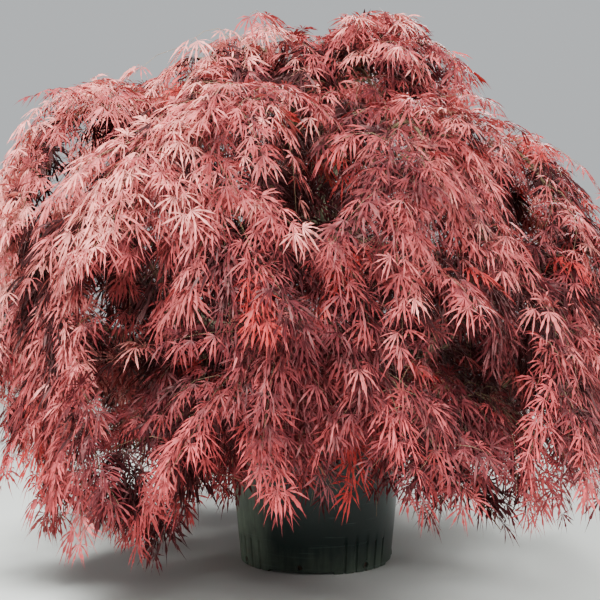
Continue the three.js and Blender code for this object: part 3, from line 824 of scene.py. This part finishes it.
TWIG_RADIUS = 4 * MM
TWIG_TIP_RADIUS = 1.3 * MM
TWIGLET_RADIUS = 1.3 * MM
TWIGLET_TIP_RADIUS = 0.6 * MM
STEM_RINGS = 30
STEM_SIDES = 9
TWIG_RINGS = 12
TWIG_SIDES = 6
TWIGLET_RINGS = 5
TWIGLET_SIDES = 3
TIP_CLEARANCE = 6 * MM
BEND_CLEARANCE = 4 * MM
LEAF_HANG = 25 * MM
TWIG_BARK_DARK = 0x4A2F28
TWIG_BARK_GREEN = 0x7A6A4A
TWIG_BARK_PALE = 0x9C8A68


def fringe_height(points):
    """How low the crown's lower edge hangs on the side where each point lies. FRINGE gives the edge's
    heights in millimetres by its azimuth in degrees."""
    azimuth = np.degrees(np.arctan2(points[:, 1], points[:, 0]))
    return np.interp(azimuth, *zip(*FRINGE), period=360) * MM


def share_over_fringe(handles):
    """How much of a stem or twig, from its foot on, hangs well over the crown's lower edge."""
    shares = np.linspace(0, 1, EDGE_STEPS)
    points = places_along(handles, shares)
    over = points[:, 2] > fringe_height(points) + BARE_TIP_MARGIN
    return shares[-1] if over.all() else shares[max(1, np.argmin(over) - 1)]


def mass_sprays(mass, random):
    """The twiglets of one mass: where each starts, bends and ends, and the crown's outward way there."""
    limbs = [(mass["stem"], None, BARE_STEM_SHARE, TUFT_GAP)]
    limbs += [(twig["handles"], twig["frame"], BARE_TWIG_SHARE, TUFT_GAP) for twig in mass["twigs"]]
    limbs += [(mass["bough"], None, INNER_TUFT_SHARE, INNER_TUFT_GAP)]
    for handles, own_frame, bare, gap in limbs:
        steps = np.diff(places_along(handles, np.linspace(0, 1, PATH_STRETCHES + 1)), axis=0)
        length = np.linalg.norm(steps, axis=1).sum()
        full = share_over_fringe(handles)
        count = max(2, round(length * (full - bare) / gap))
        for i in range(count + 1):
            along = min(full, bare + (full - bare) * (i + random.uniform(*TUFT_SHIFT)) / count)
            tangent, side, out = own_frame or surface_frame(handles, along)
            share = even_shares(handles, [along])
            root = bezier(handles, share)[0]
            sway = random.uniform(-TUFT_SWAY, TUFT_SWAY)
            lean = TUFT_FORWARD * (tangent + headings(handles, share)[0] + sway * side)
            rise = max(0, root[2] - TOP_HEIGHT) / (cad_box[1][2] - TOP_HEIGHT)
            stiffness = 1 - TOP_STIFFNESS * rise
            lean = unit(lean + random.uniform(*TUFT_OUTWARD) * stiffness * out + TOP_LIFT * rise * UP)
            crest = root + lean * TUFT_STAND * random.uniform(*TUFT_STANDS) * (1 + TOP_STAND * rise)
            first_turn = random.uniform(0, math.tau)
            for k in range(TUFT_SPRAYS):
                turn = first_turn + k * math.tau / TUFT_SPRAYS + random.uniform(-SPRAY_TURN, SPRAY_TURN)
                way = unit(math.cos(turn) * side + (math.sin(turn) + TUFT_AHEAD) * tangent)
                reach = SPRAY_LENGTH * random.uniform(*SPRAY_LENGTHS) * (1 + TOP_REACH * rise)
                bend = crest + way * reach * SPRAY_BEND + out * reach * SPRAY_ARCH
                fall = reach * SPRAY_DROOP * random.uniform(*SPRAY_DROOPS) * stiffness
                if k == 0 and random.uniform() < HANGING_SHARE:
                    reach *= HANGING_REACH
                    bend = crest + way * reach * HANGING_BEND
                    fall = HANGING_LENGTH * random.uniform(*HANGING_LENGTHS)
                yield root, bend, crest + way * reach * SPRAY_TIP - fall * UP, out


def own_space_excess(points, owners):
    """How much nearer each point is to another mass's stem or twigs than to its own mass's."""
    stretches = stretches_of([path for mass in PLAN for path in mass["paths"]])
    starts = np.cumsum([0] + [len(mass["paths"]) * PATH_STRETCHES for mass in PLAN[:-1]])
    excess = np.empty(len(points))
    for first in range(0, len(points), POINTS_AT_ONCE):
        some = slice(first, first + POINTS_AT_ONCE)
        least = np.minimum.reduceat(distances(points[some], stretches), starts, axis=1)
        rows = np.arange(len(least))
        own = least[rows, owners[some]]
        least[rows, owners[some]] = np.inf
        excess[some] = own - least.min(axis=1)
    return excess


def in_outline(points, rags):
    """Which points lie within the solids' reach and between the crown's ragged lower and upper edges.
    SKYLINE gives the upper edge's heights in millimetres from the left to the right."""
    least, most = (np.array(corner) for corner in cad_box)
    inside = np.all((points > least - REACH_SLACK) & (points < most + REACH_SLACK), axis=1)
    skyline = np.interp(points[:, 0] / MM, *zip(*SKYLINE)) * MM
    inside &= points[:, 2] < skyline + RAGGED_SKYLINE * rags
    return inside & (points[:, 2] > fringe_height(points) + RAGGED_EDGE * rags)


def quadratic(curves, shares):
    """Places on many curves of three handles, each at its own shares."""
    shares = shares[..., None]
    start, bend, tip = (curves[:, None, i] for i in range(3))
    return start * (1 - shares) ** 2 + bend * 2 * shares * (1 - shares) + tip * shares**2


spray_random = np.random.default_rng(SPRAY_SEED)
spray_rows = [(k, *spray) for k, mass in enumerate(PLAN) for spray in mass_sprays(mass, spray_random)]
SPRAY_OWNERS = np.array([row[0] for row in spray_rows])
SPRAYS = np.array([row[1:4] for row in spray_rows])
SPRAY_OUTS = np.array([row[4] for row in spray_rows])
tips = SPRAYS[:, 2]
kept = clear_of_limbs(tips, lowest=0, margin=TIP_CLEARANCE)
kept &= clear_of_limbs(SPRAYS[:, 1], lowest=0, margin=BEND_CLEARANCE)
SPRAY_RAGS = spray_random.uniform(-1, 1, len(tips))
kept &= in_outline(tips - LEAF_HANG * UP, SPRAY_RAGS)
kept &= own_space_excess(tips, SPRAY_OWNERS) < SPACE_SLACK
SPRAY_OWNERS, SPRAYS, SPRAY_OUTS, SPRAY_RAGS = (
    each[kept] for each in (SPRAY_OWNERS, SPRAYS, SPRAY_OUTS, SPRAY_RAGS)
)


def full_part(handles, rings):
    """Places along a stem or twig, as far as it hangs well over the crown's lower edge."""
    return places_along(handles, np.linspace(0, 1, rings) * share_over_fringe(handles))


def tapering(paths, foot, tip, sides):
    """Tubes along these paths, with their radius at the foot and at the tip."""
    paths = np.array(paths)
    radii = foot + (tip - foot) * np.linspace(0, 1, paths.shape[1])
    return swept(paths, np.broadcast_to(radii, paths.shape[:2]), sides)


def twig_mesh(sprays):
    """Stems, side twigs and these twiglets as one mesh of tapering tubes."""
    stems = [full_part(mass["stem"], STEM_RINGS) for mass in PLAN]
    twigs = [full_part(twig["handles"], TWIG_RINGS) for mass in PLAN for twig in mass["twigs"]]
    shares = np.broadcast_to(np.linspace(0, 1, TWIGLET_RINGS), (len(sprays), TWIGLET_RINGS))
    parts = [
        tapering(stems, BOUGH_TIP_RADIUS, STEM_TIP_RADIUS, STEM_SIDES),
        tapering(twigs, TWIG_RADIUS, TWIG_TIP_RADIUS, TWIG_SIDES),
        tapering(quadratic(sprays, shares), TWIGLET_RADIUS, TWIGLET_TIP_RADIUS, TWIGLET_SIDES),
    ]
    points = np.concatenate([part[0].reshape(-1, 3) for part in parts])
    firsts = np.cumsum([0] + [part[0].size // 3 for part in parts[:-1]])
    quads = np.concatenate([part[1] + first for part, first in zip(parts, firsts)])
    mesh = joined_mesh("twigs", points, quads)
    store_vectors(mesh, "limb_place", np.concatenate([part[2].reshape(-1, 3) for part in parts]))
    mesh.shade_smooth()
    return mesh


TWIG_BARK = living_bark("young_twig_bark", TWIG_BARK_DARK, TWIG_BARK_GREEN, TWIG_BARK_PALE)
FOLIAGE_NODES = [f"foliage_{name}" for name in MASSES]


# Leaves. Each is a star of seven narrow toothed lobes on a thin stalk. They stand in pairs along the
# twiglets with one at the end, reach out of the crown with their faces up, and droop like fountains.
# Those deep in its shade are larger and take a dark tint, painted shade. The other tints are dealt out by
# spray and by place, graded by painted light.
LEAF_SEED = 9
LEAF_GAP = 50 * MM
FIRST_LEAF_SHARE = 0.3
LEAF_LENGTH = 92 * MM
LEAF_LENGTHS = (0.72, 1.12)
LEAF_CLEARANCE = 2 * MM
LEAF_KINDS = 10
FEWEST_LEAVES = 3
BURIAL_CELL = 90 * MM
BURIED_BEYOND = 10
SHADED_BEYOND = 4
SHADE_LEAF_SCALE = 1.3
STRAY_SHARE = 0.2
FIRST_PAIR_SHIFT = 0.3
TERMINAL_SHARE = 0.99
LEAF_SPREAD = (0.55, 1.25)
TERMINAL_SPREAD = 0.2
LEAF_FORWARD = 0.8
LEAF_OUTWARD = 0.7
LEAF_UPWARD = (-0.5, 0.15)
OUT_TILT = 0.25
FACE_SHARE = 0.8
FACE_SCATTER = 0.25
STALK_SHARE = 0.22
STALK_HALF_WIDTH = 0.006
LOBES = [(0, 1.0), (24, 0.98), (-24, 0.98), (50, 0.90), (-50, 0.90), (82, 0.70), (-82, 0.70)]
LOBE_EDGES = [
    (0.7, [(0.34, 0.034), (0.40, 0.015), (0.62, 0.038), (0.69, 0.014)]),
    (1.2, [(0.36, 0.034), (0.43, 0.015), (0.66, 0.034)]),
    (math.pi, [(0.42, 0.032), (0.52, 0.015)]),
]
LOBE_SWAY_DEG = 6
LOBE_CURL = 0.22
LOBE_TWIST = 0.8
LOBE_LENGTHS = (0.85, 1.1)
TOOTH_SHIFT = 0.02
LOBE_DROOP = 0.12
LEAF_SAG = 0.55
LEAF_SAGS = (0.6, 1.3)
TIP_SAG_SHARE = 0.8
# The tints from plum to dusty_pink are steps of painted light and shade; shade is painted shade.
TINTS = {
    "shade": (0x280C11, 0x541A1E),
    "plum": (0x45181E, 0x7A262B),
    "maroon": (0x672B30, 0x96302F),
    "crimson": (0x913E41, 0xB23A36),
    "rose": (0xB85D5D, 0xC25048),
    "dusty_pink": (0xE88F87, 0xD07468),
    "coral": (0xB24A4E, 0xC84642),
    "bright_red": (0x9E2E30, 0xCC3428),
}
CORAL = list(TINTS).index("coral")
BRIGHT_RED = list(TINTS).index("bright_red")
PAINTED_LIGHT_UPWARD = 0.54
PAINTED_LIGHT_LEFTWARD = 0.19
PAINTED_LIGHT_OUTWARD = 0.30
LIGHT_SCATTER = 0.14
PAINTED_LIGHT_STEPS = [0.20, 0.36, 0.52, 0.70]
YOUNG_HEIGHT = 500 * MM
YOUNG_SHARE = 0.3
SUNLIT_EDGE = 1.25
SUNLIT_SHARE = 0.3
RED_SHARE = 0.05
GLOSS_TINT = 0xF0B4AE
BLOOM_TINT = 0xF4C8C4
SHADE_SHARE = 0.42
PAINTED_EDGE_GLOW = 0.6
TONE_PATCH = 35 * MM
TRANSLUCENCE = 0.12
PIECE_TRIANGLES = 190000


def leaf_kind(random):
    """A leaf of unit length along +X with its face up: points and triangles, the stalk's foot at 0. Each
    point also tells how far it is along its lobe, and whether on the midrib (0) or at an edge (-1, 1)."""
    points = [(STALK_SHARE, 0, 0)]
    grain = [(0, 0)]
    faces = []
    for angle, length in LOBES:
        angle = math.radians(angle + random.uniform(-LOBE_SWAY_DEG, LOBE_SWAY_DEG))
        curl = random.uniform(-LOBE_CURL, LOBE_CURL)
        twist = random.uniform(-LOBE_TWIST, LOBE_TWIST)
        length *= (1 - STALK_SHARE) * random.uniform(*LOBE_LENGTHS)
        edge = next(edge for widest, edge in LOBE_EDGES if abs(angle) < widest)
        first = len(points)
        for along, half_width in [*edge, (1, 0)]:
            reach = length * (along + random.uniform(-TOOTH_SHIFT, TOOTH_SHIFT))
            turn = angle + curl * along
            for across in (-half_width, half_width) if half_width else (0,):
                points.append((
                    STALK_SHARE + reach * math.cos(turn) - across * math.sin(turn),
                    reach * math.sin(turn) + across * math.cos(turn),
                    twist * across - LOBE_DROOP * reach * reach,
                ))
                grain.append((along, np.sign(across)))
        faces.append((0, first, first + 1))
        for left in range(first, len(points) - 3, 2):
            faces += [(left, left + 2, left + 1), (left + 1, left + 2, left + 3)]
        tip = len(points) - 1
        faces.append((tip - 2, tip, tip - 1))
    first = len(points)
    points += [(0, -STALK_HALF_WIDTH, 0), (0, STALK_HALF_WIDTH, 0)]
    points += [(STALK_SHARE, STALK_HALF_WIDTH, 0), (STALK_SHARE, -STALK_HALF_WIDTH, 0)]
    grain += [(0, 0)] * 4
    faces += [(first, first + 3, first + 2), (first, first + 2, first + 1)]
    return np.array(points), np.array(faces), np.array(grain)


def leaf_places(random):
    """For each leaf: its twiglet, the stalk's foot, the way it points and the way it faces."""
    lengths = np.linalg.norm(SPRAYS[:, 2] - SPRAYS[:, 0], axis=1)
    pairs = np.maximum(2, np.round(lengths / LEAF_GAP)).astype(int)
    steps = np.arange(pairs.max() + 1)
    spaced = np.minimum(1, (steps + FIRST_PAIR_SHIFT) / pairs[:, None])
    used = steps <= pairs[:, None]
    terminal = steps == pairs[:, None]
    shares = np.where(terminal, TERMINAL_SHARE, FIRST_LEAF_SHARE + (1 - FIRST_LEAF_SHARE) * spaced)
    feet = quadratic(SPRAYS, shares)
    start, bend, tip = (SPRAYS[:, None, i] for i in range(3))
    ways = unit((bend - start) * (1 - shares[..., None]) + (tip - bend) * shares[..., None])
    outs = SPRAY_OUTS[:, None] + OUT_TILT * UP
    outs = unit(outs - ways * (outs * ways).sum(2, keepdims=True))
    sides = np.cross(outs, ways)
    rows = []
    for hand in (-1, 1):
        chosen = used & ~(terminal & (hand < 0))
        spray, step = np.nonzero(chosen)
        n = len(spray)
        spread = hand * random.uniform(*LEAF_SPREAD, n)
        angle = np.where(terminal[spray, step], random.normal(0, TERMINAL_SPREAD, n), spread)
        way, out, side = ways[spray, step], outs[spray, step], sides[spray, step]
        pointing = way * LEAF_FORWARD * np.cos(angle)[:, None] + side * np.sin(angle)[:, None]
        pointing += out * random.uniform(0, LEAF_OUTWARD, (n, 1)) + UP * random.uniform(*LEAF_UPWARD, (n, 1))
        facing = out * FACE_SHARE + UP * FACE_SHARE + random.normal(0, FACE_SCATTER, (n, 3))
        rows.append((spray, feet[spray, step], unit(pointing), facing))
    return [np.concatenate(columns) for columns in zip(*rows)]


def leaves_beyond(points):
    """How many leaves lie beyond each one, on the side where the fewest do."""
    cells = np.floor((points - points.min(0)) / BURIAL_CELL).astype(int)
    counts = np.zeros(cells.max(0) + 1)
    np.add.at(counts, tuple(cells.T), 1)
    least = np.full(counts.shape, np.inf)
    for axis in range(3):
        before = counts.cumsum(axis) - counts
        beyond = counts.sum(axis, keepdims=True) - before - counts
        least = np.minimum(least, np.minimum(before, beyond))
    return least[tuple(cells.T)]


def spray_tints(random):
    """A tint for each twiglet, graded by painted light and shade: paler and rosier up the crown and to
    its sides, most of all on the left, darker and browner low down and in the middle. Young coral tips
    along the fringe, and a red upper right edge, painted as sunlit."""
    tips = SPRAYS[:, 2]
    height = tips[:, 2] / cad_box[1][2]
    leftward = -tips[:, 0] / cad_box[1][0]
    # Painted light and shade: paler up the crown, to the left and to the sides, darker low and in the
    # middle.
    light = PAINTED_LIGHT_UPWARD * height + PAINTED_LIGHT_LEFTWARD * leftward + PAINTED_LIGHT_OUTWARD * abs(leftward)
    light += random.normal(0, LIGHT_SCATTER, len(tips))
    tints = 1 + np.digitize(light, PAINTED_LIGHT_STEPS)
    young = (tips[:, 2] < YOUNG_HEIGHT) & (random.uniform(0, 1, len(tips)) < YOUNG_SHARE)
    tints[young] = CORAL
    # Painted backlight: twiglets on the upper right edge are often bright red, as if sunlit from behind.
    red_share = np.where(height - leftward > SUNLIT_EDGE, SUNLIT_SHARE, RED_SHARE)
    tints[random.uniform(0, 1, len(tips)) < red_share] = BRIGHT_RED
    return tints


def leaf_blade(name, colour, glow):
    """A thin living leaf blade: satin on its face, red where light comes through, with a painted red glow
    of backlight along its lobe edges. Its tone varies from leaf to leaf, and a waxy bloom pales it
    where it is seen at a slant."""
    material, tree = new_material(name)
    place = add_node(tree, "TexCoord").outputs["Object"]
    tone = add_node(tree, "TexNoise", Vector=place, Scale=1 / TONE_PATCH, Detail=3.0)
    share = add_node(tree, "MapRange", Value=tone, From_Min=0.35, From_Max=0.65)
    shaded = [channel * SHADE_SHARE for channel in linear(colour)[:3]] + [1]
    toned = add_node(tree, "Mix", {"data_type": "RGBA"}, in_0=share, in_6=shaded, in_7=linear(colour))
    grain = add_node(tree, "Attribute", {"attribute_name": "lobe_grain"})
    parted = add_node(tree, "SeparateXYZ", in_0=grain.outputs["Vector"])
    side = add_node(tree, "Math", {"operation": "ABSOLUTE"}, in_0=parted.outputs[1])
    # Painted backlight: the lobe edges are mixed toward the red glow colour.
    rim = add_node(tree, "MapRange", Value=side, From_Min=0.45, From_Max=1.0, To_Max=PAINTED_EDGE_GLOW)
    edged = add_node(tree, "Mix", {"data_type": "RGBA"}, in_0=rim, in_6=toned.outputs[2], in_7=linear(glow))
    blade = add_node(
        tree, "BsdfPrincipled", Base_Color=edged.outputs[2], Roughness=0.5, IOR=1.38,
        Specular_Tint=linear(GLOSS_TINT), Sheen_Weight=0.22, Sheen_Roughness=0.35,
        Sheen_Tint=linear(BLOOM_TINT),
    )
    through = add_node(tree, "BsdfTranslucent", Color=linear(glow))
    mixed = add_node(tree, "MixShader", in_0=TRANSLUCENCE, in_1=blade, in_2=through)
    add_node(tree, "OutputMaterial", Surface=mixed)
    return material


leaf_random = np.random.default_rng(LEAF_SEED)
tints = spray_tints(leaf_random)
sprays, feet, pointing, facing = leaf_places(leaf_random)
lengths = LEAF_LENGTH * leaf_random.uniform(*LEAF_LENGTHS, len(feet))
ends = feet + pointing * lengths[:, None]
middles = feet + pointing * lengths[:, None] / 2
level = np.sqrt(1 - pointing[:, 2] ** 2)
sag = LEAF_SAG * level * leaf_random.uniform(*LEAF_SAGS, len(feet))
cover = leaves_beyond(middles)
kept = clear_of_limbs(ends, lowest=0, margin=LEAF_CLEARANCE)
kept &= in_outline(ends - TIP_SAG_SHARE * (sag * lengths)[:, None] * UP, SPRAY_RAGS[sprays])
kept &= cover <= BURIED_BEYOND
kept &= own_space_excess(middles, SPRAY_OWNERS[sprays]) < SPACE_SLACK
leafy = np.bincount(sprays[kept], minlength=len(SPRAYS)) >= FEWEST_LEAVES
kept &= leafy[sprays]
sprays, feet, pointing, facing, lengths, sag, cover = (
    each[kept] for each in (sprays, feet, pointing, facing, lengths, sag, cover)
)
new_piece("twigs", twig_mesh(SPRAYS[leafy]), TWIG_BARK, "bark", *FOLIAGE_NODES)
lengths *= np.where(cover > SHADED_BEYOND, SHADE_LEAF_SCALE, 1)
facing = unit(facing - pointing * (facing * pointing).sum(1, keepdims=True))
axes = np.stack([pointing, np.cross(facing, pointing), facing], 1) * lengths[:, None, None]
kinds = [leaf_kind(leaf_random) for _ in range(LEAF_KINDS)]
kind_of = leaf_random.integers(0, LEAF_KINDS, len(feet))
shift = leaf_random.choice([-1, 0, 1], len(feet), p=[STRAY_SHARE, 1 - 2 * STRAY_SHARE, STRAY_SHARE])
leaf_tints = tints[sprays]
graded = leaf_tints < CORAL
leaf_tints[graded] = np.clip(leaf_tints + shift, 1, CORAL - 1)[graded]
# Painted shade: leaves deep inside the crown take the dark shade tint.
leaf_tints[cover > SHADED_BEYOND] = 0
most_leaves = PIECE_TRIANGLES // len(kinds[0][1])

for tint, (name, (colour, glow)) in enumerate(TINTS.items()):
    material = leaf_blade(f"leaf_{name}", colour, glow)
    dealt = np.nonzero(leaf_tints == tint)[0]
    for part, first in enumerate(range(0, len(dealt), most_leaves)):
        points, faces, grains, total = [], [], [], 0
        for kind, (kind_points, kind_faces, kind_grain) in enumerate(kinds):
            these = dealt[first : first + most_leaves]
            these = these[kind_of[these] == kind]
            placed = feet[these][:, None] + kind_points @ axes[these]
            placed[..., 2] -= (sag * lengths)[these][:, None] * (kind_points**2).sum(1)
            points.append(placed.reshape(-1, 3))
            offsets = total + np.arange(len(these))[:, None, None] * len(kind_points)
            faces.append((kind_faces + offsets).reshape(-1, 3))
            grains.append(np.tile(np.c_[kind_grain, np.zeros(len(kind_grain))], (len(these), 1)))
            total += len(these) * len(kind_points)
        piece_name = f"leaves_{name}_{part + 1}"
        mesh = joined_mesh(piece_name, np.concatenate(points), np.concatenate(faces))
        store_vectors(mesh, "lobe_grain", np.concatenate(grains))
        new_piece(piece_name, mesh, material, "leaf", *FOLIAGE_NODES)


# Stage. A plain pale floor under soft studio light, and a camera where the photograph was taken from:
# a little over hip height, 4.4 metres from the pot.
FLOOR_REACH = 15
FLOOR_PALE = 0xB9BDB8
SKY_PALE = 0xE9EDF0
CAMERA_PLACE = Vector((-54, -4420, 1020)) * MM
CAMERA_PITCH_DEG = 1.8
CAMERA_LENS = 78
CAMERA_SENSOR = 36

floor_bm = bmesh.new()
bmesh.ops.create_grid(floor_bm, x_segments=1, y_segments=1, size=FLOOR_REACH)
floor_mesh = mesh_from(floor_bm, "floor")
floor = linked("floor", floor_mesh)
floor_material, floor_tree = new_material("pale_floor")
floor_shader = add_node(floor_tree, "BsdfPrincipled", Base_Color=linear(FLOOR_PALE), Roughness=0.9)
add_node(floor_tree, "OutputMaterial", Surface=floor_shader)
floor_mesh.materials.append(floor_material)

world = bpy.data.worlds.new("studio")
world.use_nodes = True
world.node_tree.nodes.clear()
sky = add_node(world.node_tree, "Background", Color=linear(SKY_PALE), Strength=0.7)
add_node(world.node_tree, "OutputWorld", Surface=sky)
bpy.context.scene.world = world


def soft_light(name, place, target, size, watts):
    light = bpy.data.lights.new(name, "AREA")
    light.size = size
    light.energy = watts
    lamp = linked(name, light)
    lamp.location = place
    lamp.rotation_euler = (Vector(target) - Vector(place)).to_track_quat("-Z", "Y").to_euler()


soft_light("key", (-2.2, -2.8, 5.2), (0, 0, 1.0), 2.2, 1300)
soft_light("back", (2.0, 3.2, 4.2), (0.2, 0, 1.3), 1.6, 260)
soft_light("fill", (3.8, -2.6, 2.8), (0.5, 0, 0.8), 2.2, 520)

camera_data = bpy.data.cameras.new("camera")
camera_data.lens = CAMERA_LENS
camera_data.sensor_width = CAMERA_SENSOR
camera = linked("camera", camera_data)
camera.location = CAMERA_PLACE
camera.rotation_euler = (math.radians(90 - CAMERA_PITCH_DEG), 0, 0)
bpy.context.scene.camera = camera

bpy.context.view_layer.update()
